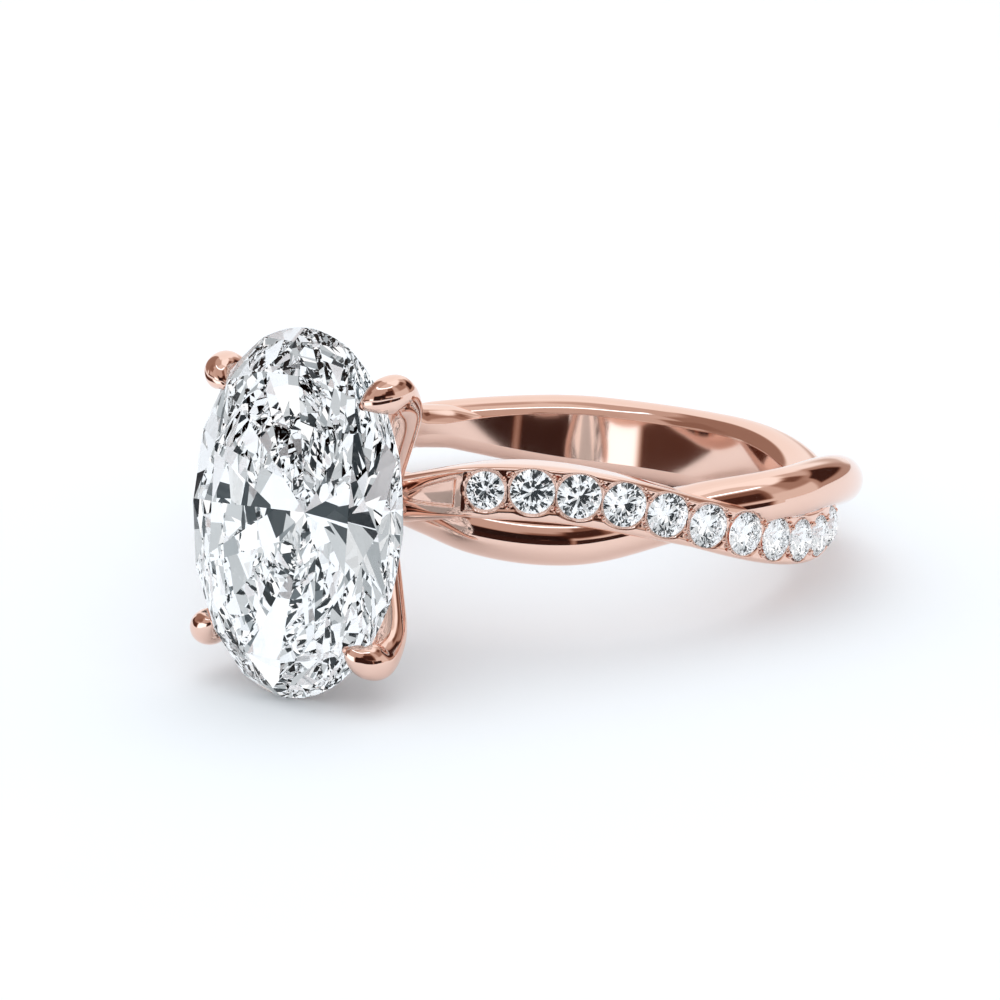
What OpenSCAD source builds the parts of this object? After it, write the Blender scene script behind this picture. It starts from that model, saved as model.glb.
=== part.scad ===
// Twisted shank ring: two strands cross over each other around the finger, one set with small stones,
// and four claws hold an elongated oval stone. The ring lies on its side, on the tip of the oval stone
// and on the lower edge of the back of the shank.

/* [Finger hole] */
// Inside diameter of the ring
bore_d = 16.5; // [14:0.1:20]

/* [Strands] */
// Thickness of the plain strand
strand_d = 1.6; // [1.4:0.05:1.9]
// Thickness of the thin wall between the strands
web_t = 0.75; // [0.6:0.05:1]
// Angle from the head to the first crossing, where the set strand passes over
cross_1 = 57; // [50:1:64]
// Angle from the head to the second crossing, where the plain strand passes over
cross_2 = 124; // [118:1:130]
// How much further round the set strand turns away from the second crossing on the left side
cross_lag = 8; // [0:1:10]
// Half the distance between the strands, between the head and the first crossing
spread_1 = 0.73; // [0.6:0.01:0.8]
// Half the distance between the strands, between the two crossings
spread_2 = 0.87; // [0.7:0.01:0.9]
// Half the distance between the strands, at the back of the finger
spread_back = 0.67; // [0.5:0.01:0.75]
// How far the plain strand swings out to pass over the set strand
swing_out = 0.75; // [0.6:0.05:0.9]
// How far the set strand swings out between the crossings
set_swing = 0.2; // [0.1:0.01:0.25]
// How far the plain strand dives to pass under the set strand
dive_in = 0.5; // [0.4:0.05:0.6]
// Extra height of the inner wall's edge beside the first crossing
lip_h = 0.95; // [0.6:0.05:1.1]

/* [Set strand] */
// Diameter of each small stone
pave_d = 1.3; // [1.1:0.05:1.35]
// Diameter of the first small stone on each side, next to the head
first_d = 1.12; // [1:0.02:1.3]
// How far the small stones sit towards the other strand, between the crossings
pave_lift = 0.07; // [0:0.01:0.1]
// Number of small stones on each side of the head
pave_n = 11; // [6:1:11]
// Angle from the head to the first small stone
pave_first = 19.2; // [18:0.1:21]
// Angle between neighbouring small stones
pave_pitch = 8.03; // [8:0.01:8.3]
// Metal between a small stone's edge and the outer edge of the strand
rail_w = 0.09; // [0.08:0.01:0.15]
// Height of the set strand's flat top above the finger hole
pave_h = 1.53; // [1.45:0.01:1.6]

/* [Oval stone] */
// Length of the oval stone, along the finger
oval_l = 10.4; // [9.6:0.1:11]
// Width of the oval stone, around the finger
oval_w = 7; // [6.6:0.05:7.4]
// Height of the stone's edge above the finger hole
oval_rise = 5.85; // [5.6:0.05:6.5]
// Height of the crown, from the edge to the table
crown_h = 0.8; // [0.7:0.05:0.9]
// Width of the sloping crown, from the edge to the table
crown_w = 1; // [0.9:0.05:1.2]
// Depth of the pavilion, from the edge to the point
pavilion_h = 3.0; // [2.7:0.05:3.2]
// Thickness of the stone's edge
edge_t = 0.16; // [0.1:0.02:0.24]

/* [Claws] */
// Thickness of a claw's stem
claw_d = 0.8; // [0.7:0.02:0.9]
// Thickness of a claw's rounded head
claw_head_d = 1.08; // [0.96:0.02:1.2]
// Distance between the two pairs of claws, where they leave the shank
claw_foot_w = 0.7; // [0.5:0.05:0.9]
// How far a claw's tip reaches over the stone's edge
claw_reach = 0.47; // [0.4:0.01:0.55]
// Gap between the metal and each stone
seat_gap = 0.03; // [0.02:0.01:0.05]

/* [Hidden] */
SIDES = ["right", "left"];

rose_gold = [0.88, 0.62, 0.52];
clear = [0.9, 0.93, 0.96];

bore_r = bore_d / 2;
strand_r = strand_d / 2;
// Distance from the finger's axis to the middle of a strand that lies against the finger
strand_at = bore_r + strand_r * 0.98;
// Half the width of the set strand, towards its outer edge, at a crossing and towards the other strand
set_out = pave_d / 2 + rail_w;
set_flare = 0.03;
set_lap = 0.24;
set_mid = set_out + set_flare;
set_in = set_out + set_lap;
set_top = pave_h - (strand_at - bore_r);
head_narrow = 0.2;
// How far each section runs past the finger hole's wall, so that the hole cuts it clean
past_wall = 0.3;
// How square the sections of the set strand and of the wall between the strands are
set_square = 6;
web_square = 5;
// The inside of the set strand is rounder close to the head, between these angles
set_round = 2.2;
round_from = 10;
round_to = 26;
web_out = bore_r + web_t;
web_margin = 0.2;
// The two strands pass the second crossing a little apart, and part over this angle behind it
set_cross_2 = cross_2 - 3;
plain_cross_2 = cross_2 + 2;
part_over = 40;
// The strands swing and dive between these angles, as shares of the way between the crossings
swing_start = 0.05;
swing_full = 0.38;
swing_end = 0.93;
swing_settle = 26;
rise_lead = 9;
rise_run = 15;
fall_lead = 40;
fall_run = 6;
dive_half = 20;
lip_half = 26;
lip_lead = 3;
// The set strand turns back into a plain one this many degrees behind the last small stone
set_past = 6;
set_end = pave_first + (pave_n - 1) * pave_pitch + set_past;
set_fade = 14;

// Places on the oval stone, from the finger's axis
oval_at = bore_r + oval_rise;
half_l = oval_l / 2;
half_w = oval_w / 2;
oval_turn = 22.5;
oval_steps = 2;

whole_turn = 360;
half_turn = whole_turn / 2;

// Steps around the finger, and steps across the outside and the inside of the strands
ring_steps = 120;
outer_steps = 18;
inner_steps = 8;
claw_sides = 12;

// Smooth step from 0 at a to 1 at b
function ease(x, a, b) = let (t = min(1, max(0, (x - a) / (b - a)))) t * t * (3 - 2 * t);

// Smooth bump of height 1 and half width w
function bump(x, w) = abs(x) < w ? (1 + cos(180 * x / w)) / 2 : 0;

// Height of the set strand's middle at an angle from the head, for angles from 0 to 180
function half_wave(a, second, lag) =
    a < cross_1 ? spread_1 * sin(180 * a / cross_1)
    : a < second ? -spread_2 * sin(180 * (a - cross_1) / (second - cross_1))
    : spread_back * sin(min(90, max(0, 90 * (a - second - lag) / part_over)));

// The left side is the right side turned half round about the head's axis, so its sign is changed
function set_z(a) = a < half_turn ? half_wave(a, set_cross_2, 0)
    : -half_wave(whole_turn - a, set_cross_2, cross_lag);
function plain_z(a) = a < half_turn ? -half_wave(a, plain_cross_2, 0)
    : half_wave(whole_turn - a, plain_cross_2, 0);
function from_head(a) = a < half_turn ? a : whole_turn - a;

// Distance from the finger's axis to the middle of the plain strand
function plain_at(a) =
    let (h = from_head(a),
        gap = cross_2 - cross_1,
        out = ease(h, cross_1 + swing_start * gap, cross_1 + swing_full * gap)
            * (1 - ease(h, cross_1 + swing_end * gap, cross_2 + swing_settle)))
    strand_at + swing_out * out - dive_in * bump(h - cross_1 + lip_lead, dive_half);

// Distance from the finger's axis to the middle of the set strand
function set_at(a) =
    let (h = from_head(a))
    strand_at + set_swing * ease(h, cross_1 - rise_lead, cross_1 + rise_run)
        * (1 - ease(h, cross_2 - fall_lead, cross_2 - fall_run));

// How much of its width the set strand has at an angle: it is narrower close to the head
function set_width(a) = 1 - head_narrow * (1 - ease(from_head(a), 0, pave_first));

// How much of the set strand's square section there is at an angle
function set_share(a) = 1 - ease(from_head(a), set_end, set_end + set_fade);
function mix(a, b, t) = a + (b - a) * t;

// A section is [middle z, half width down, half width up, middle radius, inward, outward, squareness of
// the outside, squareness of the inside]
function set_section(a) =
    let (z = set_z(a),
        q = max(-1, min(1, z / spread_1)),
        t = set_share(a),
        outer = set_width(a),
        up = q > 0 ? outer * mix(set_mid, set_out, q) : mix(set_mid, set_in, -q),
        down = q > 0 ? mix(set_mid, set_in, q) : outer * mix(set_mid, set_out, -q),
        inside = mix(set_round, set_square, ease(from_head(a), round_from, round_to)))
    [z, mix(strand_r, down, t), mix(strand_r, up, t), set_at(a),
        mix(strand_r, set_at(a) - bore_r + past_wall, t), mix(strand_r, set_top, t),
        mix(2, set_square, t), mix(2, inside, t)];

function plain_section(a) = [plain_z(a), strand_r, strand_r, plain_at(a), strand_r, strand_r, 2, 2];

function web_section(a) =
    let (reach = max(set_z(a), plain_z(a)) + web_margin,
        lip = lip_h * bump(from_head(a) - cross_1 + lip_lead, lip_half),
        middle = (web_out + bore_r - past_wall) / 2,
        half = (web_out - bore_r + past_wall) / 2)
    [0, reach + (a < half_turn ? 0 : lip), reach + (a < half_turn ? lip : 0), middle, half, half,
        web_square, web_square];

// How far a section reaches from its middle radius at height z, as a share of its full reach
function fullness(s, z, square) =
    let (d = z - s[0], share = abs(d) / (d < 0 ? s[1] : s[2]))
    share >= 1 ? 0 : pow(1 - pow(share, square), 1 / square);
function covers(s, z) = z >= s[0] - s[1] - 0.001 && z <= s[0] + s[2] + 0.001;
function outer_edge(sections, z) =
    max([for (s = sections) if (covers(s, z)) s[3] + s[5] * fullness(s, z, s[6])]);
function inner_edge(sections, z) =
    min([for (s = sections) if (covers(s, z)) s[3] - s[4] * fullness(s, z, s[7])]);

// One section of the shank: up the outside and down the inside, as [radius, z]
function shank_section(a) =
    let (all = [set_section(a), plain_section(a), web_section(a)],
        low = min([for (s = all) s[0] - s[1]]),
        high = max([for (s = all) s[0] + s[2]]),
        mid = (low + high) / 2,
        half = (high - low) / 2)
    concat(
        [for (j = [0:outer_steps]) let (z = mid - half * cos(half_turn * j / outer_steps))
            [outer_edge(all, z), z]],
        [for (j = [1:inner_steps - 1]) let (z = mid + half * cos(half_turn * j / inner_steps))
            [inner_edge(all, z), z]]);

function around(a, p) = [p[0] * sin(a), -p[0] * cos(a), p[1]];

// A closed ring of sections, each with the same number of points
module ring_of(sections) {
    n = len(sections);
    m = len(sections[0]);
    polyhedron(
        points = [for (s = sections) for (p = s) p],
        faces = [for (i = [0:n - 1]) for (j = [0:m - 1]) let (k = (i + 1) % n, l = (j + 1) % m)
            each [[i * m + j, k * m + l, k * m + j], [i * m + j, i * m + l, k * m + l]]],
        convexity = 6);
}

// A closed tube of round sections along a path, as [x, y, z, radius] for each point. A section faces along
// the way from two points before to two points after, so that thick sections stay apart in a bend
module tube_along(path, sides) {
    n = len(path);
    points = [for (i = [0:n - 1])
        let (p = [path[i][0], path[i][1], path[i][2]],
            b = path[max(0, i - 2)],
            c = path[min(n - 1, i + 2)],
            t = [c[0] - b[0], c[1] - b[1], c[2] - b[2]],
            w = t / norm(t),
            u0 = cross([0, 0, 1], w),
            u = u0 / norm(u0),
            v = cross(w, u))
        for (j = [0:sides - 1]) let (turn = whole_turn * j / sides)
            p + path[i][3] * (cos(turn) * u + sin(turn) * v)];
    polyhedron(
        points = points,
        faces = concat(
            [[for (j = [0:sides - 1]) j]],
            [[for (j = [sides - 1:-1:0]) (n - 1) * sides + j]],
            [for (i = [0:n - 2]) for (j = [0:sides - 1]) let (l = (j + 1) % sides)
                each [[i * sides + j, (i + 1) * sides + j, (i + 1) * sides + l],
                    [i * sides + j, (i + 1) * sides + l, i * sides + l]]]),
        convexity = 4);
}

// A brilliant cut with its table up and its edge at z = 0: l along y and w along x. The crown slopes alike
// all round, in_w wide. The facets are turned by an angle, and the edge has this many steps along each facet
module brilliant(l, w, crown, pavilion, edge, in_w, turn, steps) {
    eighth = whole_turn / 8;
    half_edge = edge / 2;
    rim = 16 * steps;
    star_up = 0.67;
    star_in = star_up * in_w;
    star_z = half_edge + star_up * (crown - half_edge);
    low_r = 0.24;
    low_z = -pavilion + low_r * cos(eighth / 2) * (pavilion - half_edge);
    function at(r, a, z) = [r * cos(a + turn) * w / 2, r * sin(a + turn) * l / 2, z];
    function square_to(a) = let (n = [cos(a + turn) / w, sin(a + turn) / l]) n / norm(n);
    function flat(a) = let (p = at(1, a, 0)) [p[0], p[1]];
    // Where two neighbouring crown facets meet at the height of the stars' points
    function star(a) =
        let (m = square_to(a), n = square_to(a + eighth),
            d = m * flat(a) - star_in, e = n * flat(a + eighth) - star_in)
        [d * n[1] - e * m[1], m[0] * e - n[0] * d] / (m[0] * n[1] - m[1] * n[0]);
    points = concat(
        [for (k = [0:7]) let (p = flat(k * eighth) - in_w * square_to(k * eighth)) [p[0], p[1], crown]],
        [for (k = [0:7]) let (p = star(k * eighth)) [p[0], p[1], star_z]],
        [for (k = [0:7]) at(low_r, (k + 0.5) * eighth, low_z)],
        [[0, 0, -pavilion]],
        [for (k = [0:rim - 1]) at(1, whole_turn * k / rim, half_edge)],
        [for (k = [0:rim - 1]) at(1, whole_turn * k / rim, -half_edge)]);
    stars = 8;
    low = 16;
    point = 24;
    upper = 25;
    lower = upper + rim;
    run = 2 * steps;
    faces = concat(
        [[for (k = [7:-1:0]) k]],
        [for (k = [0:7]) [k, (k + 1) % 8, stars + k]],
        [for (k = [0:7]) [k, stars + k, upper + run * k, stars + (k + 7) % 8]],
        [for (k = [0:7]) for (i = [0:run - 1])
            [stars + k, upper + (run * k + i + 1) % rim, upper + run * k + i]],
        [for (i = [0:rim - 1]) [upper + i, upper + (i + 1) % rim, lower + (i + 1) % rim, lower + i]],
        [for (k = [0:7]) for (i = [0:run - 1])
            [low + k, lower + run * k + i, lower + (run * k + i + 1) % rim]],
        [for (k = [0:7]) [point, low + (k + 7) % 8, lower + run * k, low + k]]);
    polyhedron(points = points, faces = faces, convexity = 2);
}

// Puts a thing that looks up along z on the ring, looking outwards
module on_ring(a, r, z) {
    rotate([0, 0, a]) translate([0, -r, z]) rotate([90, 0, 0]) children();
}

module oval(gap) {
    on_ring(0, oval_at, 0)
        brilliant(oval_l + 2 * gap, oval_w + 2 * gap, crown_h + gap, pavilion_h + gap, edge_t + 2 * gap,
            crown_w, oval_turn, oval_steps);
}

// Shares of a small stone's diameter
edge_share = 0.04;
crown_share = 0.15;
crown_w_share = 0.215;
pavilion_share = 0.43;
function small_d(i) = i == 1 ? first_d : pave_d;
function small_angle(i) = pave_first + (i - 1) * pave_pitch;

module small_stone(d) {
    brilliant(d, d, crown_share * d, pavilion_share * d, edge_share * d, crown_w_share * d, 0, 1);
}

// The hole that a small stone sits in: straight down to the edge and tapered under it, to this small radius
seat_point_r = 0.08;
module small_seat(d) {
    seat_r = d / 2 + 0.5 * seat_gap;
    translate([0, 0, -edge_share * d]) cylinder(r = seat_r, h = pave_d, $fn = 48);
    translate([0, 0, -(edge_share + pavilion_share) * d])
        cylinder(r1 = seat_point_r, r2 = seat_r, h = pavilion_share * d + 0.002, $fn = 48);
}

// Puts a thing at the place of one small stone, with s = 1 for the right side and -1 for the left
module at_small(s, i) {
    a = small_angle(i);
    lift = pave_lift * ease(a, cross_1, cross_1 + rise_run);
    on_ring(s * a, set_at(a) + set_top - edge_share * small_d(i), s * (set_z(a) + lift)) children();
}

// Where a claw meets the stone's edge, and the direction straight out from the edge there
claw_angle = 43;
edge_point = [half_w * cos(claw_angle), half_l * sin(claw_angle)];
edge_out = [cos(claw_angle) / half_w, sin(claw_angle) / half_l];
out = edge_out / norm(edge_out);
seat_in = 0.33;
seat_point = edge_point + seat_in * out;
foot_sink = 0.3;
foot_r = bore_r + strand_d - foot_sink;
seat_low = 0.35;
seat_r = oval_at - seat_low;
claw_r = claw_d / 2;
claw_head_r = claw_head_d / 2;

// The stem as shares of the way up from the shank, around the finger and along it, and of its thickness
stem_shares = [
    [-0.06, 0.04, 0.05, 0.9],
    [0.22, 0.16, 0.13, 0.95],
    [0.44, 0.41, 0.33, 0.95],
    [0.63, 0.7, 0.6, 0.98],
    [0.76, 0.89, 0.8, 1.05],
    [0.87, 0.96, 0.925, 1.15]];

// The head over the stone: shares of the reach inwards, of the crown upwards and of the head's thickness
head_shares = [
    [0.02, 0, 0.94],
    [0.16, 0.47, 0.96],
    [0.42, 0.8, 0.76],
    [0.66, 0.91, 0.5],
    [0.86, 0.935, 0.25]];

// One claw's path as [x, y, z, radius], with x and z on the side given by the signs
function claw_path(sx, sz) = concat(
    [for (s = stem_shares) [sx * mix(claw_foot_w / 2, seat_point[0], s[1]), -mix(foot_r, seat_r, s[0]),
        sz * seat_point[1] * s[2], claw_r * s[3]]],
    [for (s = head_shares) let (p = seat_point - s[0] * (claw_reach + seat_in) * out)
        [sx * p[0], -(seat_r + s[1] * crown_h), sz * p[1], claw_head_r * s[2]]]);

// The tilt that rests the ring on the stone's tip and on the back of the shank, and the place of its
// origin under the middle of the whole ring
tip = [-(oval_at - edge_t / 2), -half_l];
back = [strand_at, -spread_back];
span = back - tip;
tilt = atan2(span[1], span[0]) - asin(strand_r / norm(span));
rest_z = -(-tip[0] * sin(tilt) + tip[1] * cos(tilt));
claw_front = max([for (p = claw_path(1, -1)) -p[1] * cos(tilt) - p[2] * sin(tilt) + p[3]]);
table_tip = [cos(half_turn / 2 - oval_turn) / half_w, sin(half_turn / 2 - oval_turn) / half_l];
table_y = half_l * sin(half_turn / 2 - oval_turn) - crown_w * table_tip[1] / norm(table_tip);
table_front = (oval_at + crown_h) * cos(tilt) + table_y * sin(tilt);
front_y = max(claw_front, table_front);
back_y = strand_at * cos(tilt) + spread_back * sin(tilt) + strand_r;
middle_y = (back_y - front_y) / 2;

// Lays the ring on its side, as it rests
module laid() {
    translate([0, -middle_y, rest_z]) rotate([-tilt, 0, 0]) children();
}

// The metal: shank and claws soldered into one piece
module ring_mount() {
    color(rose_gold) laid() difference() {
        union() {
            ring_of([for (i = [0:ring_steps - 1])
                let (a = whole_turn * i / ring_steps) [for (p = shank_section(a)) around(a, p)]]);
            for (sx = [-1, 1], sz = [-1, 1]) tube_along(claw_path(sx, sz), claw_sides);
        }
        translate([0, 0, -bore_r]) cylinder(r = bore_r, h = bore_d, $fn = 128);
        oval(seat_gap);
        for (i = [1:pave_n], s = [1, -1]) at_small(s, i) small_seat(small_d(i));
    }
}

module oval_stone() {
    color(clear) laid() oval(0);
}

module small_stone_at(side, i) {
    s = side == "right" ? 1 : -1;
    color(clear) laid() at_small(s, i) small_stone(small_d(i));
}

ring_mount();
oval_stone();
for (side = SIDES, i = [1:pave_n])
    small_stone_at(side, i);
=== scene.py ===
import bpy
import numpy as np
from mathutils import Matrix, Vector


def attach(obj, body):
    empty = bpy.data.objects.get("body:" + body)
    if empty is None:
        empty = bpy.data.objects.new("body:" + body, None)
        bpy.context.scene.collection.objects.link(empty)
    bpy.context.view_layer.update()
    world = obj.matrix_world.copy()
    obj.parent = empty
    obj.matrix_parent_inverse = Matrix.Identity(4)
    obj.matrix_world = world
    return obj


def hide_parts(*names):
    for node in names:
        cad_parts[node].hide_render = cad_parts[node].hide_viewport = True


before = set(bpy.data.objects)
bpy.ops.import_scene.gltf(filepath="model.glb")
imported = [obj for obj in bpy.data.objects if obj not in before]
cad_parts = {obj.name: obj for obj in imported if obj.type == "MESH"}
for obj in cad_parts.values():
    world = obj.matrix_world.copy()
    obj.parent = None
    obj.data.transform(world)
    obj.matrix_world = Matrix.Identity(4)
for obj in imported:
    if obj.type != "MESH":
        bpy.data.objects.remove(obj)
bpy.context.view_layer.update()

# The finger hole. All shapes are worked out in millimetres around the finger's axis, with the head
# towards -y, and laid on the floor as the ring rests, on the tip of the stone and the back of the shank.
BORE = 8.25
TILT = np.radians(9.16542)
MIDDLE_Y = -2.75698
REST_Z = 2.90043


def laid(p):
    """Ring coordinates in mm to the lying ring in metres: y' = y cos t + z sin t - middle,
    z' = z cos t - y sin t + rest."""
    x, y, z = p[..., 0], p[..., 1], p[..., 2]
    return 0.001 * np.stack([x, y * np.cos(TILT) + z * np.sin(TILT) - MIDDLE_Y,
                             z * np.cos(TILT) - y * np.sin(TILT) + REST_Z], -1)


def piece(name, points, faces, material, slot, nodes, smooth=True):
    """A mesh from ring coordinates, riding on the ring and standing for the given solids."""
    mesh = bpy.data.meshes.new(name)
    mesh.from_pydata(laid(points).tolist(), [], faces if isinstance(faces, list) else faces.tolist())
    mesh.polygons.foreach_set("use_smooth", [smooth] * len(mesh.polygons))
    mesh.materials.append(material)
    made = bpy.data.objects.new(name, mesh)
    bpy.context.collection.objects.link(made)
    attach(made, "root")
    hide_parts(*nodes)
    # The stones stay white: they don't pick up the gold behind them
    made.visible_transmission = slot != "rose_gold"
    return made


class Wire:
    """One output in a material's node tree. + - * / with numbers or other wires add Math nodes."""

    def __init__(self, tree, out):
        self.tree, self.out = tree, out

    def node(self, kind, out=0, ins=None, **settings):
        """Any other node, with its inputs by name or number, and the wire of one of its outputs."""
        made = self.tree.nodes.new(kind)
        for key, value in settings.items():
            setattr(made, key, value)
        for key, value in (ins or {}).items():
            if isinstance(value, Wire):
                self.tree.links.new(value.out, made.inputs[key])
            else:
                made.inputs[key].default_value = value
        return Wire(self.tree, made.outputs[out])

    def math(self, how, a, b=0.0):
        return self.node("ShaderNodeMath", ins={0: a, 1: b}, operation=how)

    def __add__(self, other):
        return self.math("ADD", self, other)

    def __sub__(self, other):
        return self.math("SUBTRACT", self, other)

    def __mul__(self, other):
        return self.math("MULTIPLY", self, other)

    def __truediv__(self, other):
        return self.math("DIVIDE", self, other)

    def __rsub__(self, other):
        return self.math("SUBTRACT", other, self)

    __radd__ = __add__
    __rmul__ = __mul__

    def mix(self, low, high):
        """Colour low where this wire is 0 and high where it is 1."""
        made = self.tree.nodes.new("ShaderNodeMix")
        made.data_type = "RGBA"
        self.tree.links.new(self.out, made.inputs["Factor"])
        made.inputs["A"].default_value = (*low, 1)
        made.inputs["B"].default_value = (*high, 1)
        return Wire(self.tree, made.outputs["Result"])


def shader(name, **fixed):
    """A new material, its shader with fixed inputs, and the wire of object coordinates in mm."""
    made = bpy.data.materials.new(name)
    made.use_nodes = True
    tree = made.node_tree
    surface = tree.nodes["Principled BSDF"]
    for key, value in fixed.items():
        surface.inputs[key.replace("_", " ")].default_value = value
    place = Wire(tree, tree.nodes.new("ShaderNodeTexCoord").outputs["Object"])
    mm = place.node("ShaderNodeVectorMath", ins={0: place, 1: (1000, 1000, 1000)}, operation="MULTIPLY")
    return made, surface, mm


# Rose gold, polished on the wheel: faint fine lines, a little unevenness in the gloss and the red copper
# tone a touch deeper in places.
rose, surface, mm = shader("rose_gold", Metallic=1.0)
cloud = mm.node("ShaderNodeTexNoise", ins={"Vector": mm, "Scale": 0.6, "Detail": 3})
along = mm.node("ShaderNodeMapping", ins={"Vector": mm, "Scale": (3, 3, 40)})
lines = mm.node("ShaderNodeTexNoise", ins={"Vector": along, "Scale": 1.0, "Detail": 2})
colour = cloud.mix((0.86, 0.585, 0.485), (0.88, 0.615, 0.515))
rose.node_tree.links.new(colour.out, surface.inputs["Base Color"])
rose.node_tree.links.new((0.035 + 0.05 * cloud).out, surface.inputs["Roughness"])
bump = lines.node("ShaderNodeBump", ins={"Height": lines, "Strength": 0.003, "Distance": 0.00002})
rose.node_tree.links.new(bump.out, surface.inputs["Normal"])


def ease(x, a, b):
    """Smooth step t*t*(3 - 2t), from 0 at a to 1 at b."""
    t = np.clip((x - a) / (b - a), 0, 1)
    return t * t * (3 - 2 * t)


def bump_at(x, half):
    """(1 + cos(180 x / half)) / 2 within the half width, and 0 outside it."""
    return np.where(np.abs(x) < half, (1 + np.cos(np.pi * np.clip(x / half, -1, 1))) / 2, 0)


# Angles from the head to the first crossing and to the second, for the set half and for the plain half
CROSS_1, SET_CROSS_2, PLAIN_CROSS_2 = 57, 121, 126
# Half the distance between the strands before the first crossing, between the two, and at the back
SPREAD_1, SPREAD_2, SPREAD_BACK = 0.73, 0.87, 0.67


def wave(a, second, lag):
    """Height of a strand over the middle plane: a half sine wave up and one down between the crossings,
    and a quarter wave up to the height at the back, over 40 degrees behind the second crossing."""
    rad = np.radians
    behind = SPREAD_BACK * np.sin(rad(np.clip(90 * (a - second - lag) / 40, 0, 90)))
    between = -SPREAD_2 * np.sin(rad(180 * (a - CROSS_1) / (second - CROSS_1)))
    before_1 = SPREAD_1 * np.sin(rad(180 * a / CROSS_1))
    return np.where(a < CROSS_1, before_1, np.where(a < second, between, behind))


def sweep(a, radius, z):
    """Sections along the finger hole: the point (radius sin a, -radius cos a, z) for each angle a."""
    turn = np.radians(a)[:, None]
    points = np.stack([radius * np.sin(turn), -radius * np.cos(turn), z], -1)
    n, m = z.shape
    i, j = np.meshgrid(np.arange(n), np.arange(m), indexing="ij")
    k, l = (i + 1) % n, (j + 1) % m
    faces = np.stack([i * m + j, k * m + j, k * m + l, i * m + l], -1).reshape(-1, 4)
    return points.reshape(-1, 3), faces


def squarish(t, n):
    """A unit section at t degrees: (cos t, sin t) / (|cos t|^n + |sin t|^n)^(1/n)."""
    c, s = np.cos(np.radians(t)), np.sin(np.radians(t))
    size = (np.abs(c) ** n + np.abs(s) ** n) ** (-1 / n)
    return c * size, s * size


# The two strands, of rose gold. Each is a closed ring that is set with stones on one side and a plain round
# wire on the other, and half a turn about the head's axis turns one into the other. The set half has a flat
# top and straight walls, and after a sunk leaf-shaped panel its stones sit in cut seats in a shallow channel.
STRAND_AT = 9.034  # from the finger's axis to the middle of a strand that lies against the finger
WIRE = 0.8  # half the thickness of the plain wire
TOP = 0.746  # from the middle of the set strand to its flat top
HALF = 0.77  # half the width of the set strand
STONES = 19.2 + 8.03 * np.arange(11)
SIZES = np.array([1.12] + [1.3] * 10)
SEAT_DEEP, SPOT_DEEP, CHANNEL_DEEP, LEAF_DEEP = 0.72, 0.13, 0.04, 0.08


def set_at(h):
    """Distance of the set strand's middle from the finger's axis."""
    return STRAND_AT + 0.2 * ease(h, 48, 72) * (1 - ease(h, 84, 118))


def stone_z(h):
    """Height of the small stones' row over the middle plane."""
    return wave(h, SET_CROSS_2, 0) + 0.07 * ease(h, CROSS_1, 72)


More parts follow.
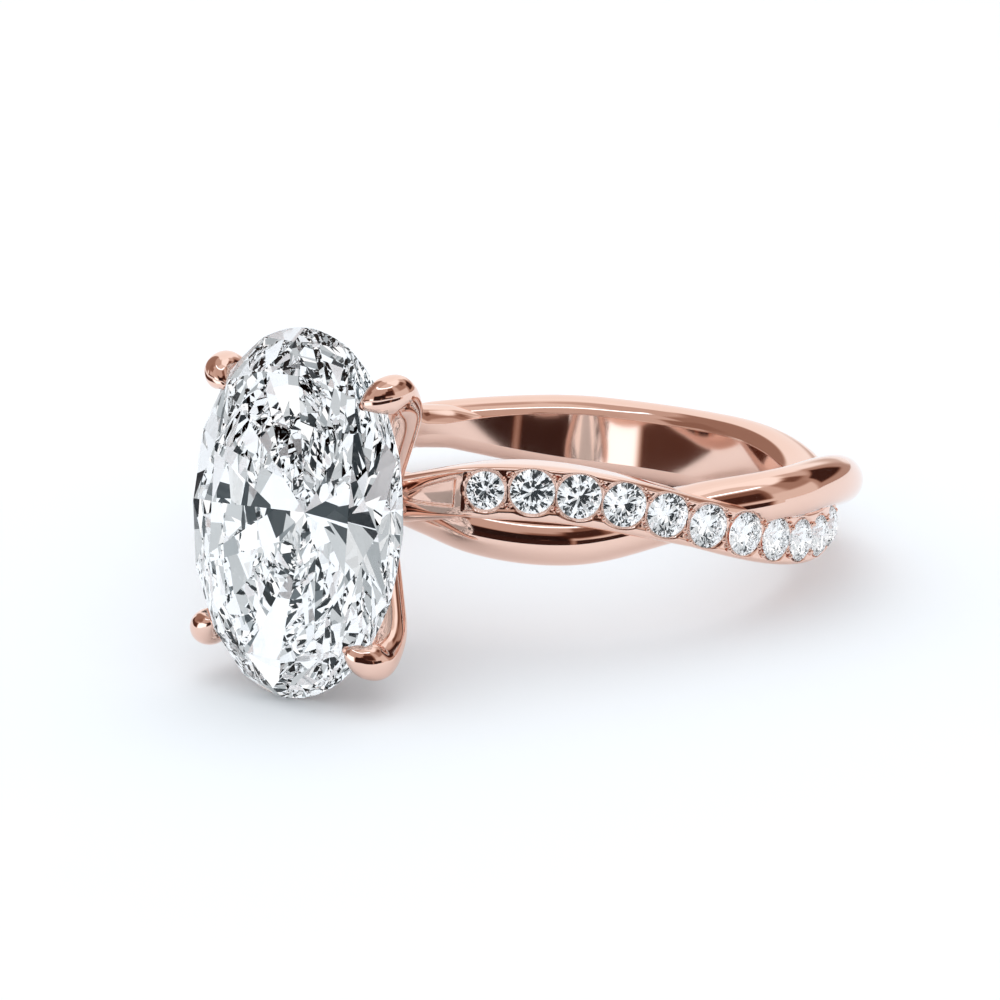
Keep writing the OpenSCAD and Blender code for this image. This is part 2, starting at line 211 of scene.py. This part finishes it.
def strand(lag):
    """One strand, as sections for angles from the head: a set half up to 180 degrees, a plain half beyond.
    A section is the middle plus c, s of squarish times the half sizes, which blend from round to square."""
    a = np.concatenate([np.linspace(4, 106, 361), np.linspace(106, 352, 210)[1:-1],
                        np.linspace(352, 364, 24)[:-1]])
    h = np.where(a > 360, a - 360, np.minimum(a, 360 - a))
    near_head = (a > 357) | (a < 4)
    is_set = ((a < 180) | near_head)
    signed = np.where(a > 180, a - 360, a)
    middle = np.where((a < 180) | (a >= 360), wave(h, SET_CROSS_2, lag), wave(h, PLAIN_CROSS_2, 0))
    # The plain half swings out over the set strand, dives under it at the first crossing, and is sunk a
    # little beside the head
    out_over = 0.75 * ease(h, 60.35, 82.46) * (1 - ease(h, 119.31, 150))
    beside_head = 0.3 * ease(-signed, 0, 3) * (1 - ease(h, 6, 17))
    plain = STRAND_AT + out_over - 0.5 * bump_at(h - 54, 20) - beside_head
    at = np.where((a < 180) | (a >= 360), set_at(h), plain)
    square = np.where(is_set, (1 - ease(h, 105.5, 119.5)) * ease(signed, -3, 0), 0)
    q = np.clip(middle / SPREAD_1, -1, 1)
    narrow = 1 - 0.2 * (1 - ease(h, 0, 19.2))
    up = np.where(q > 0, narrow * (HALF - 0.03 * q), HALF - 0.21 * q)
    down = np.where(q > 0, HALF + 0.21 * q, narrow * (HALF + 0.03 * q))
    inside = 2.2 + 3.8 * ease(h, 10, 26)

    def blend(round_, cut_):
        return (round_ + (cut_ - round_) * square)[:, None]

    t = np.concatenate([np.linspace(-48, 48, 68), np.linspace(48, 312, 54)[1:-1]])[None]
    c, s = squarish(t, np.where(np.cos(np.radians(t)) > 0, blend(2, 6), blend(2, inside)))
    radius = at[:, None] + c * np.where(c > 0, blend(WIRE, TOP), blend(WIRE, at - BORE + 0.3))
    over = s * np.where(s > 0, blend(WIRE, up), blend(WIRE, down))
    z = middle[:, None] + over
    # Each seat is a cone under its stone and a bright cut bevel round it. At r beyond the stone's edge it is
    # 0.1 + (0.02 - r) deep inside the edge and 0.1 - 0.9 (r - 0.02) outside it
    which = np.abs(h[:, None] - STONES).argmin(1)
    near = STONES[which]
    along = np.radians(h - near)[:, None] * (set_at(near) + TOP)[:, None]
    r = np.hypot(along, z - stone_z(near)[:, None]) - SIZES[which][:, None] / 2
    depth = np.where(r < 0.02, np.minimum(SEAT_DEEP, 0.1 + (0.02 - r)), 0.1 - 0.9 * (r - 0.02))
    channel = CHANNEL_DEEP * (1 - ease(np.abs(over), 0.56, 0.61)) * ((h > 15.6) & (h < 103.3))[:, None]
    # Drill spots above and below the middle of each gap between two stones
    gap = STONES[:-1] + 4.015
    beside = gap[np.abs(h[:, None] - gap).argmin(1)]
    spot = np.hypot(np.radians(h - beside)[:, None] * 9.9, np.abs(z - stone_z(beside)[:, None]) - 0.46)
    spots = SPOT_DEEP * (1 - ease(spot, 0.045, 0.085))
    leaf_w = np.maximum(0.42 * np.clip((h - 4.5) / 9.4, 0, 1) ** 0.6, 0.01)[:, None]
    in_leaf = ((h > 4.6) & (h < 13.9))[:, None]
    leaf = LEAF_DEEP * (1 - ease(np.abs(over + 0.02) / leaf_w, 0.9, 1.1)) * in_leaf
    cuts = (at + TOP)[:, None] - np.maximum(np.maximum(depth, channel), np.maximum(leaf, spots))
    here = (c > 0) & (radius > at[:, None]) & (a[:, None] < 180)
    return a, np.maximum(np.where(here, np.minimum(radius, cuts), radius), BORE + 0.002), z


SEAT_TOP = -0.15
LEFT_LAG = 8  # degrees by which the set strand turns away from the second crossing later on the left side
for name, way, lag in (("strand_right", 1, 0), ("strand_left", -1, LEFT_LAG)):
    a, radius, z = strand(lag)
    points, faces = sweep(a, radius, z)
    # The plain half is hollowed where it passes the other strand's stones: away from the edge of each, and
    # down out of the cone under it. SEAT_TOP is the height of the edge under the flat top
    for angle, d in zip(STONES, SIZES):
        axis = np.array([-np.sin(np.radians(angle)), -np.cos(np.radians(angle)), 0])
        off = points - (set_at(angle) + TOP) * axis + (0, 0, stone_z(angle))
        up = off @ axis
        off -= up[:, None] * axis
        apart = np.linalg.norm(off, axis=1) + 1e-9
        room = d / 2 + 0.06 - apart
        points = points + off * (np.where(up > SEAT_TOP, np.maximum(room, 0), 0) / apart)[:, None]
        sunk = np.where((up <= SEAT_TOP) & (room > 0), np.maximum(up - SEAT_TOP + room, 0), 0)
        points -= sunk[:, None] * axis
    piece(name, points * (way, 1, way), faces, rose, "rose_gold", ["ring_mount"])

# The thin wall of rose gold that closes the openings between the strands, against the finger. It is soldered
# to both, has softly rounded edges, and rises to a lip beside the first crossing.
WALL_AT, WALL_HALF, WALL_OVER, LIP = 8.475, 0.525, 0.2, 0.6
a = np.linspace(0, 360, 481)[:-1]
h = np.minimum(a, 360 - a)
side = np.where(a < 180, 1, -1)
set_z = side * wave(h, SET_CROSS_2, np.where(side > 0, 0, LEFT_LAG))
plain_z = -side * wave(h, PLAIN_CROSS_2, 0)
reach = np.maximum(set_z, plain_z) + WALL_OVER
lip = LIP * bump_at(h - 54, 26)
high, low = reach + np.where(side > 0, lip, 0), reach + np.where(side > 0, 0, lip)
t = np.linspace(0, 360, 49)[None, :-1]
c, s = squarish(t, 5)
z = s * np.where(s > 0, high[:, None], low[:, None])
points, faces = sweep(a, np.maximum(WALL_AT + WALL_HALF * c, BORE), z)
piece("inner_wall", points, faces, rose, "rose_gold", ["ring_mount"])


def cut(length, width, crown, depth, edge, crown_w, turn, steps, star_up=0.67, low=0.24):
    """A brilliant cut looking up along z. The 8 crown mains slope alike all round: each is square to the
    edge and crown_w wide. Between them are 8 stars and 16 upper halves, and underneath 8 pavilion mains
    and 16 lower halves. Every facet is flat, so the halves' planes give the wavy edge."""
    w, l = width / 2, length / 2

    def rim(degrees):
        rad = np.radians(degrees + turn)
        return np.stack([w * np.cos(rad), l * np.sin(rad)], -1)

    def with_z(flat, height):
        return np.concatenate([flat, np.full((len(flat), 1), height)], 1)

    k = np.arange(8)
    main = rim(45 * k)
    square = main / np.array([w, l]) ** 2
    square /= np.linalg.norm(square, axis=1)[:, None]
    corner = with_z(main - crown_w * square, crown)
    # Two neighbouring mains meet where m.p = d and n.p = e at the height of the stars' points
    m, n = square, np.roll(square, -1, 0)
    d = (m * main).sum(1) - star_up * crown_w
    e = np.roll(d, -1)
    star = np.stack([d * n[:, 1] - e * m[:, 1], m[:, 0] * e - n[:, 0] * d], -1)
    star /= (m[:, 0] * n[:, 1] - m[:, 1] * n[:, 0])[:, None]
    stars = with_z(star, edge / 2 + star_up * (crown - edge / 2))
    low_z = -depth + low * np.cos(np.radians(22.5)) * (depth - edge / 2)
    lows = with_z(rim(45 * k + 22.5) * low, low_z)
    n = 16 * steps
    ring = rim(np.arange(n) * 360 / n)
    half = (np.arange(n) // steps)
    third = ((half + 1) // 2) % 8

    def heights(tips, side):
        """The edge's height where the plane through a tip, a main's rim point and the halfway rim point
        meets the stone's outline."""
        m = rim(45 * third)
        mid = rim(45 * (half // 2) + 22.5)
        tip = tips[half // 2]
        a1 = np.concatenate([m - tip[:, :2], (side * edge / 2 - tip[:, 2])[:, None]], 1)
        a2 = np.concatenate([mid - tip[:, :2], (side * edge / 2 - tip[:, 2])[:, None]], 1)
        normal = np.cross(a1, a2)
        d = ring - tip[:, :2]
        return tip[:, 2] - (normal[:, 0] * d[:, 0] + normal[:, 1] * d[:, 1]) / normal[:, 2]

    upper = np.concatenate([ring, heights(stars, 1)[:, None]], 1)
    lower = np.concatenate([ring, heights(lows, -1)[:, None]], 1)
    points = np.concatenate([corner, stars, lows, [[0, 0, -depth]], upper, lower])
    up, dn = 25, 25 + n
    faces = [list(range(8))]
    for i in range(8):
        j, m = (i + 1) % 8, 2 * steps * i
        last = (i + 7) % 8
        faces += [[i, 8 + i, j], [i, 8 + last, up + m, 8 + i], [24, 16 + i, dn + m, 16 + last]]
        first = [(m + x) % n for x in range(steps + 1)]
        second = [(m + steps + x) % n for x in range(steps + 1)]
        faces += [[8 + i, *[up + x for x in part]] for part in (first, second)]
        faces += [[16 + i, *[dn + x for x in reversed(part)]] for part in (first, second)]
    faces += [[up + i, dn + i, dn + (i + 1) % n, up + (i + 1) % n] for i in range(n)]
    return points, faces


def on_ring(points, angle, at, height):
    """Turns a stone's axis outwards and puts it on the ring: (x, -at - z, height + y), turned by angle."""
    x, y, z = points[:, 0], -at - points[:, 2], height + points[:, 1]
    rad = np.radians(angle)
    return np.stack([x * np.cos(rad) - y * np.sin(rad), x * np.sin(rad) + y * np.cos(rad), z], -1)


# The oval stone: a colourless elongated brilliant with an eight-sided table, held by the four claws alone.
# It bends light a little more than the real stone, and its surface mirrors less, so that its facets show.
clear, surface, mm = shader("clear_stone", IOR=2.65, Transmission_Weight=1.0,
                            Specular_Tint=(0.12, 0.12, 0.12, 1))
haze = mm.node("ShaderNodeTexNoise", ins={"Vector": mm, "Scale": 1.5, "Detail": 2})
tint = haze.mix((0.985, 0.99, 1.0), (1.0, 1.0, 1.0))
clear.node_tree.links.new(tint.out, surface.inputs["Base Color"])
clear.node_tree.links.new((haze * 0.004).out, surface.inputs["Roughness"])
OVAL_AT, OVAL_L, OVAL_W, CROWN = 14.1, 10.4, 7.0, 0.8
oval, oval_faces = cut(OVAL_L, OVAL_W, CROWN, 3.2, 0.16, 1.0, 22.5, 6)
oval = on_ring(oval, 0, OVAL_AT, 0)
piece("oval_cut", oval, oval_faces, clear, "clear_stone", ["oval_stone"], smooth=False)

# The four claws: drawn wires of rose gold, soldered to the shank in two pairs. They swell under the edge of
# the stone and end in a rounded head, bent over until its tip lies on the crown.
# Stem: shares of the way up from the shank, around the finger and along it, and of the stem's thickness
STEM = [[-0.06, 0.04, 0.05, 0.9], [0.22, 0.16, 0.13, 0.95], [0.44, 0.41, 0.33, 0.95],
        [0.63, 0.7, 0.6, 0.98], [0.76, 0.89, 0.8, 1.05], [0.87, 0.96, 0.925, 1.15]]
# Head: shares of the reach inwards, of the crown upwards, and of the head's thickness
HEAD = [[0.02, 0, 0.94], [0.16, 0.47, 0.96], [0.42, 0.8, 0.76], [0.66, 0.91, 0.5], [0.86, 0.935, 0.25]]
STEM_R, HEAD_R, REACH, FOOT_X = 0.4, 0.54, 0.8, 0.35
FOOT, SEAT = 9.55, 13.75
half_w, half_l = OVAL_W / 2, OVAL_L / 2
claw_c, claw_s = np.cos(np.radians(43)), np.sin(np.radians(43))
edge_dir = np.array([claw_c / half_w, claw_s / half_l])
out = edge_dir / np.linalg.norm(edge_dir)
seat = np.array([half_w * claw_c, half_l * claw_s]) + 0.33 * out
# The planes of the oval stone's 57 facets and upright planes round its edge
corners = [oval[f] for f in oval_faces[:57]]
normals = np.array([np.cross(p[1] - p[0], p[2] - p[0]) for p in corners])
edge_at = np.radians(np.arange(96) * 3.75)
upright = np.stack([np.cos(edge_at) / half_w, 0 * edge_at, np.sin(edge_at) / half_l], -1)
normals = np.concatenate([normals, upright])
normals /= np.linalg.norm(normals, axis=1)[:, None]
on_plane = np.concatenate([[p[0] for p in corners], upright * (half_w ** 2, 0, half_l ** 2)])
offsets = (normals * on_plane).sum(1)


def spline(p, steps):
    """A smooth curve through points p: a cubic between each two, whose slope at a point is half of the way
    from the point before it to the point after it."""
    q = np.concatenate([p[:1], p, p[-1:]])
    t = (np.arange(steps) / steps)[None, :, None]
    a, b, c, d = (q[i:len(q) - 3 + i, None] for i in range(4))
    square, cube = 2 * a - 5 * b + 4 * c - d, 3 * b - a - 3 * c + d
    curve = 0.5 * (2 * b + (c - a) * t + square * t ** 2 + cube * t ** 3)
    return np.concatenate([curve.reshape(-1, p.shape[1]), p[-1:]])


def claw(sx, sz):
    """A tube of round sections along a smooth path of [x, y, z, radius], closed by a half round tip."""
    stem = [[sx * (FOOT_X + (seat[0] - FOOT_X) * x), -(FOOT + (SEAT - FOOT) * r), sz * seat[1] * z,
             STEM_R * d] for r, x, z, d in STEM]
    head = [[sx * (seat[0] - REACH * r * out[0]), -(SEAT + CROWN * y), sz * (seat[1] - REACH * r * out[1]),
             HEAD_R * d] for r, y, d in HEAD]
    path = spline(np.array(stem + head), 16)
    way = path[-1, :3] - path[-5, :3]
    way /= np.linalg.norm(way)
    tip = np.radians(np.linspace(8, 90, 12))[:, None]
    path = np.concatenate([path, np.concatenate([path[-1, :3] + way * path[-1, 3] * np.sin(tip),
                                                 path[-1, 3] * np.maximum(np.cos(tip), 0.002)], 1)])
    at, size = path[:, :3], path[:, 3]
    i = np.arange(len(at))
    ahead = at[np.minimum(i + 16, len(at) - 1)] - at[np.maximum(i - 16, 0)]
    ahead /= np.linalg.norm(ahead, axis=1)[:, None]
    u = np.cross([0, 0, 1], ahead)
    u /= np.linalg.norm(u, axis=1)[:, None]
    v = np.cross(ahead, u)
    m = 56
    turn = np.radians(np.arange(m) * 360 / m)[None, :, None]
    points = at[:, None] + size[:, None, None] * (np.cos(turn) * u[:, None] + np.sin(turn) * v[:, None])
    n = len(at)
    points = points.reshape(-1, 3)
    # Where the wire would enter the stone, it lies against the nearest facet instead, and round the stone's
    # edge it stays outside the edge
    at_edge = np.abs(-points[:, 1] - OVAL_AT) < 0.3
    for _ in range(3):
        inside = points @ normals.T - offsets
        inside[np.ix_(at_edge, np.abs(normals[:, 1]) > 0.01)] = -9
        nearest = inside.argmax(1)
        depth = 0.03 - inside.max(1)
        points = points + normals[nearest] * np.maximum(depth, 0)[:, None]
    i, j = np.meshgrid(np.arange(n - 1), np.arange(m), indexing="ij")
    l = (j + 1) % m
    faces = np.stack([i * m + j, i * m + l, (i + 1) * m + l, (i + 1) * m + j], -1).reshape(-1, 4).tolist()
    faces += [list(range(m - 1, -1, -1)), [(n - 1) * m + x for x in range(m)]]
    return points, faces


for sx, sz, name in [(1, 1, "right_top"), (1, -1, "right_bottom"),
                     (-1, 1, "left_top"), (-1, -1, "left_bottom")]:
    points, faces = claw(sx, sz)
    piece("claw_" + name, points, faces, rose, "rose_gold", ["ring_mount"])

# The small stones: eleven round brilliants on each side, the one next to the head a little smaller. Each is
# dropped into its own seat, and the beads hold it there.
points, faces, nodes, start = [], [], [], 0
for way, word in ((1, "right"), (-1, "left")):
    for i, (angle, d) in enumerate(zip(STONES, SIZES)):
        small, small_faces = cut(d, d, 0.15 * d, 0.43 * d, 0.04 * d, 0.215 * d, 0, 2)
        points.append(on_ring(small, way * angle, set_at(angle) + TOP - 0.04 * d, way * stone_z(angle)))
        faces += [[start + x for x in f] for f in small_faces]
        start += len(small)
        nodes.append(f"small_stone_{word}_{i + 1}")
piece("small_stones", np.concatenate(points), faces, clear, "clear_stone", nodes, smooth=False)

# The beads: specks of the strand's own gold, raised with a graver at the corners between the stones and
# pushed against their edges. A bead is half a ball: (cos u cos v, cos u sin v, 1.1 sin u) times its radius.
# It lies BESIDE from its stone's middle along the strand and ASIDE from it across the strand
BEAD_R, BESIDE, ASIDE = 0.086, 0.6, 0.44
rows, m = 5, 10
lat, lon = np.radians(np.linspace(0, 90, rows)), np.radians(np.arange(m) * 360 / m)
lat, lon = np.meshgrid(lat, lon, indexing="ij")
bead = np.stack([np.cos(lat) * np.cos(lon), np.cos(lat) * np.sin(lon), 1.1 * np.sin(lat)], -1)
bead = BEAD_R * bead.reshape(-1, 3)
i, j = np.meshgrid(np.arange(rows - 1), np.arange(m), indexing="ij")
k = (j + 1) % m
bead_faces = np.stack([i * m + j, i * m + k, (i + 1) * m + k, (i + 1) * m + j], -1).reshape(-1, 4)
points, faces = [], []
for way in (1, -1):
    for angle, d in zip(STONES, SIZES):
        for da in (-BESIDE, BESIDE):
            for dz in (-ASIDE, ASIDE):
                where = angle + np.degrees(da / 9.78) * d / 1.3
                points.append(on_ring(bead, way * where, set_at(angle) + TOP - 0.035,
                                      way * (stone_z(angle) + dz * d / 1.3)))
                faces.append(bead_faces + (len(points) - 1) * len(bead))
piece("beads", np.concatenate(points), np.concatenate(faces), rose, "rose_gold", ["ring_mount"])


# The room: a white sweep of card with a large soft box overhead and one on the left, and light tents round
# the ring for what the gold and the stones mirror.
def plate(name, points, material, faces):
    """A sheet of the room, which is no part of the ring."""
    mesh = bpy.data.meshes.new(name)
    mesh.from_pydata([tuple(p) for p in points], [], list(faces))
    mesh.materials.append(material)
    made = bpy.data.objects.new(name, mesh)
    bpy.context.collection.objects.link(made)
    return made


paper, surface, mm = shader("paper", Roughness=0.9)
grain = mm.node("ShaderNodeTexNoise", ins={"Vector": mm, "Scale": 0.02, "Detail": 2})
white = grain.mix((0.925, 0.94, 0.95), (0.935, 0.95, 0.96))
paper.node_tree.links.new(white.out, surface.inputs["Base Color"])
curve = np.radians(np.linspace(0, 90, 24))
sweep_y = np.concatenate([[-1.2], 0.7 + 0.2 * np.sin(curve), [0.9]])
sweep_z = np.concatenate([[0], 0.2 - 0.2 * np.cos(curve), [1.2]])
back = np.array([0.4678, -0.8365])
ahead, across = -back / np.linalg.norm(back), np.array([0.8365, 0.4678]) / np.linalg.norm(back)
card = np.array([[*(ahead * y + across * x), z] for y, z in zip(sweep_y, sweep_z) for x in (-1.5, 1.5)])
strips = [(2 * i, 2 * i + 1, 2 * i + 3, 2 * i + 2) for i in range(len(sweep_y) - 1)]
floor = plate("floor", card, paper, strips)
floor.data.polygons.foreach_set("use_smooth", [True] * len(floor.data.polygons))

centre = Vector((0, 0.001 * -MIDDLE_Y, 0.001 * REST_Z))
direction = Vector((0.4678, -0.8365, 0.2852)).normalized()


def facing(obj, where):
    """Puts a lamp or the camera at a place, turned towards the middle of the ring."""
    obj.location = where
    obj.rotation_euler = (Vector(where) - centre).to_track_quat("Z", "Y").to_euler()
    return obj


def light(name, where, wide, bright):
    """A square soft box: its power gives the same brightness at any size."""
    made = bpy.data.lights.new(name, "AREA")
    made.shape, made.size, made.size_y = "RECTANGLE", wide, wide
    made.energy = bright * np.pi * wide * wide
    lamp = bpy.data.objects.new(name, made)
    bpy.context.collection.objects.link(lamp)
    return facing(lamp, where)


# The light tents round the ring: soft boxes and dark cards, painted on one surface each. The gold mirrors
# the first and the stones show the second.
glow, surface, mm = shader("tent", Base_Color=(0, 0, 0, 1), Roughness=1.0, Emission_Strength=1.0)
painted = mm.node("ShaderNodeAttribute", "Color", attribute_name="glow")
glow.node_tree.links.new(painted.out, surface.inputs["Emission Color"])
glow.cycles.emission_sampling = "NONE"
# Each panel: first and last azimuth, lowest and highest elevation, softness of the edges in degrees along
# both, and brightness. Azimuth 0 is in front of the head and 90 to the right. Later panels cover earlier
# ones, and the last is a thin bright strip that draws the fine highlights.
FOR_GOLD = [
    (0, 360, 58, 95, 1, 10, 0.82), (105, 215, 56, 88, 12, 8, 1.15), (240, 335, 56, 90, 15, 8, 0.60),
    (60, 132, -9, 28, 8, 8, 0.80), (98, 152, 27, 57, 10, 8, 0.38), (122, 150, 43, 55, 8, 7, 0.16),
    (178, 245, 16, 75, 6, 10, 1.08), (198, 240, -9, 62, 8, 6, 1.05), (170, 200, -9, 6, 10, 4, 1.00),
    (132, 182, -9, 38, 8, 8, 0.46), (140, 172, 9, 34, 5, 5, 0.04), (240, 300, 2, 56, 6, 6, 0.34),
    (284, 320, 24, 44, 7, 6, 0.28), (320, 345, 6, 60, 8, 8, 0.64), (-18, 48, 16, 58, 10, 8, 0.60),
    (26, 48, 16, 34, 6, 5, 0.26), (46, 78, 14, 56, 5, 5, 0.22), (-4, 42, -9, 27, 6, 5, 0.015),
    (38, 72, 17, 42, 6, 5, 0.05), (-2, 66, -9, 6, 9, 4, 0.03), (29, 32, -9, 8, 2.5, 4, 0.36),
    (286, 334, -9, 5, 5, 5, 0.08), (278, 287, -9, 12, 3, 5, 1.10),
    (-26, -5, -9, 9, 5, 6, 1.50), (-60, 90, 60.5, 63.5, 6, 1.5, 2.4)]
FOR_STONES = [
    (0, 360, 62, 95, 1, 6, 0.80), (48, 112, 4, 52, 4, 4, 1.15), (292, 330, 8, 50, 4, 4, 1.10),
    (150, 230, -9, 40, 6, 6, 0.42), (236, 288, -9, 28, 4, 4, 0.16), (-26, 36, -5, 38, 3, 3, 0.03)]


def tent(name, around, first, last, low, high, base, panels, tone):
    """Part of a round wall or dome, from azimuth first to last: each panel is mixed over the one before by
    the product of two eased edges. The colour is g to the powers in tone, warmer where it is darker."""
    az, el = np.meshgrid(np.linspace(first, last, 241), np.linspace(low, high, 81), indexing="ij")
    g = np.full(az.shape, base)
    for a, b, c, d, soft_a, soft_e, value in panels:
        off, half = np.abs((az - (a + b) / 2 + 180) % 360 - 180), (b - a) / 2
        over = (1 - ease(off, half - soft_a / 2, half + soft_a / 2)) if half < 180 else 1
        under = ease(el, c - soft_e / 2, c + soft_e / 2) * (1 - ease(el, d - soft_e / 2, d + soft_e / 2))
        g += (value - g) * over * under
    x, e = np.radians(az), np.radians(el)
    is_dome = high > 60
    rim, rise = (around * np.cos(e), around * np.sin(e)) if is_dome else (around, around * np.tan(e))
    points = np.stack([0.003 + rim * np.sin(x), 0.009 - rim * np.cos(x), np.maximum(0.003 + rise, 0.0)], -1)
    n, m = az.shape
    i, j = np.meshgrid(np.arange(n - 1), np.arange(m - 1), indexing="ij")
    faces = np.stack([i * m + j, (i + 1) * m + j, (i + 1) * m + j + 1, i * m + j + 1], -1).reshape(-1, 4)
    made = plate(name, points.reshape(-1, 3), glow, faces.tolist())
    colour = made.data.color_attributes.new("glow", "FLOAT_COLOR", "POINT")
    g = g.reshape(-1, 1)
    rgba = np.concatenate([g ** np.array(tone), g * 0 + 1], 1)
    colour.data.foreach_set("color", rgba.ravel())
    made.visible_camera = made.visible_shadow = made.visible_diffuse = False
    return made


WARM, COOL = (1, 1.4, 1.6), (1.15, 1.05, 1)
tent("tent_dome", 0.25, 0, 360, -0.6, 90, 0.66, FOR_GOLD, WARM).visible_transmission = False
tent("tent_front", 0.032, 276, 436, -5.4, 5.4, 0.66, FOR_GOLD, WARM).visible_transmission = False
tent("tent_stones", 0.35, 0, 360, -0.6, 90, 0.60, FOR_STONES, COOL).visible_glossy = False

# The lamps light the card and shade it under the ring: place, width and brightness
LAMPS = {"overhead": ((-0.10, 0.10, 0.60), 0.5, 0.6), "left": ((-0.42, -0.30, 0.20), 0.23, 1.0),
         "ceiling": ((0, 0.1, 1.0), 2.4, 0.08)}
for name, (where, wide, bright) in LAMPS.items():
    lamp = light(name, where, wide, bright)
    lamp.visible_glossy = lamp.visible_transmission = False

world = bpy.data.worlds.new("room")
world.use_nodes = True
world.node_tree.nodes["Background"].inputs[0].default_value = (0.96, 1.0, 1.045, 1)
world.node_tree.nodes["Background"].inputs[1].default_value = 1.0
bpy.context.scene.world = world
bpy.context.scene.view_settings.view_transform = "Standard"
# Light turns over many times inside a cut stone before it comes out again, and seldom matters twice on card
cycles = bpy.context.scene.cycles
cycles.max_bounces, cycles.glossy_bounces, cycles.transmission_bounces = 26, 20, 12
cycles.diffuse_bounces, cycles.use_light_tree = 2, False

# The camera looks from the right of the head and from a little above, as in the photograph
lens = bpy.data.cameras.new("camera")
lens.lens, lens.sensor_width = 81.49, 36
lens.shift_x, lens.shift_y = -0.0403, -0.0329
lens.clip_start, lens.clip_end = 0.005, 10
camera = bpy.data.objects.new("camera", lens)
bpy.context.collection.objects.link(camera)
facing(camera, centre + 0.075 * direction)
bpy.context.scene.camera = camera
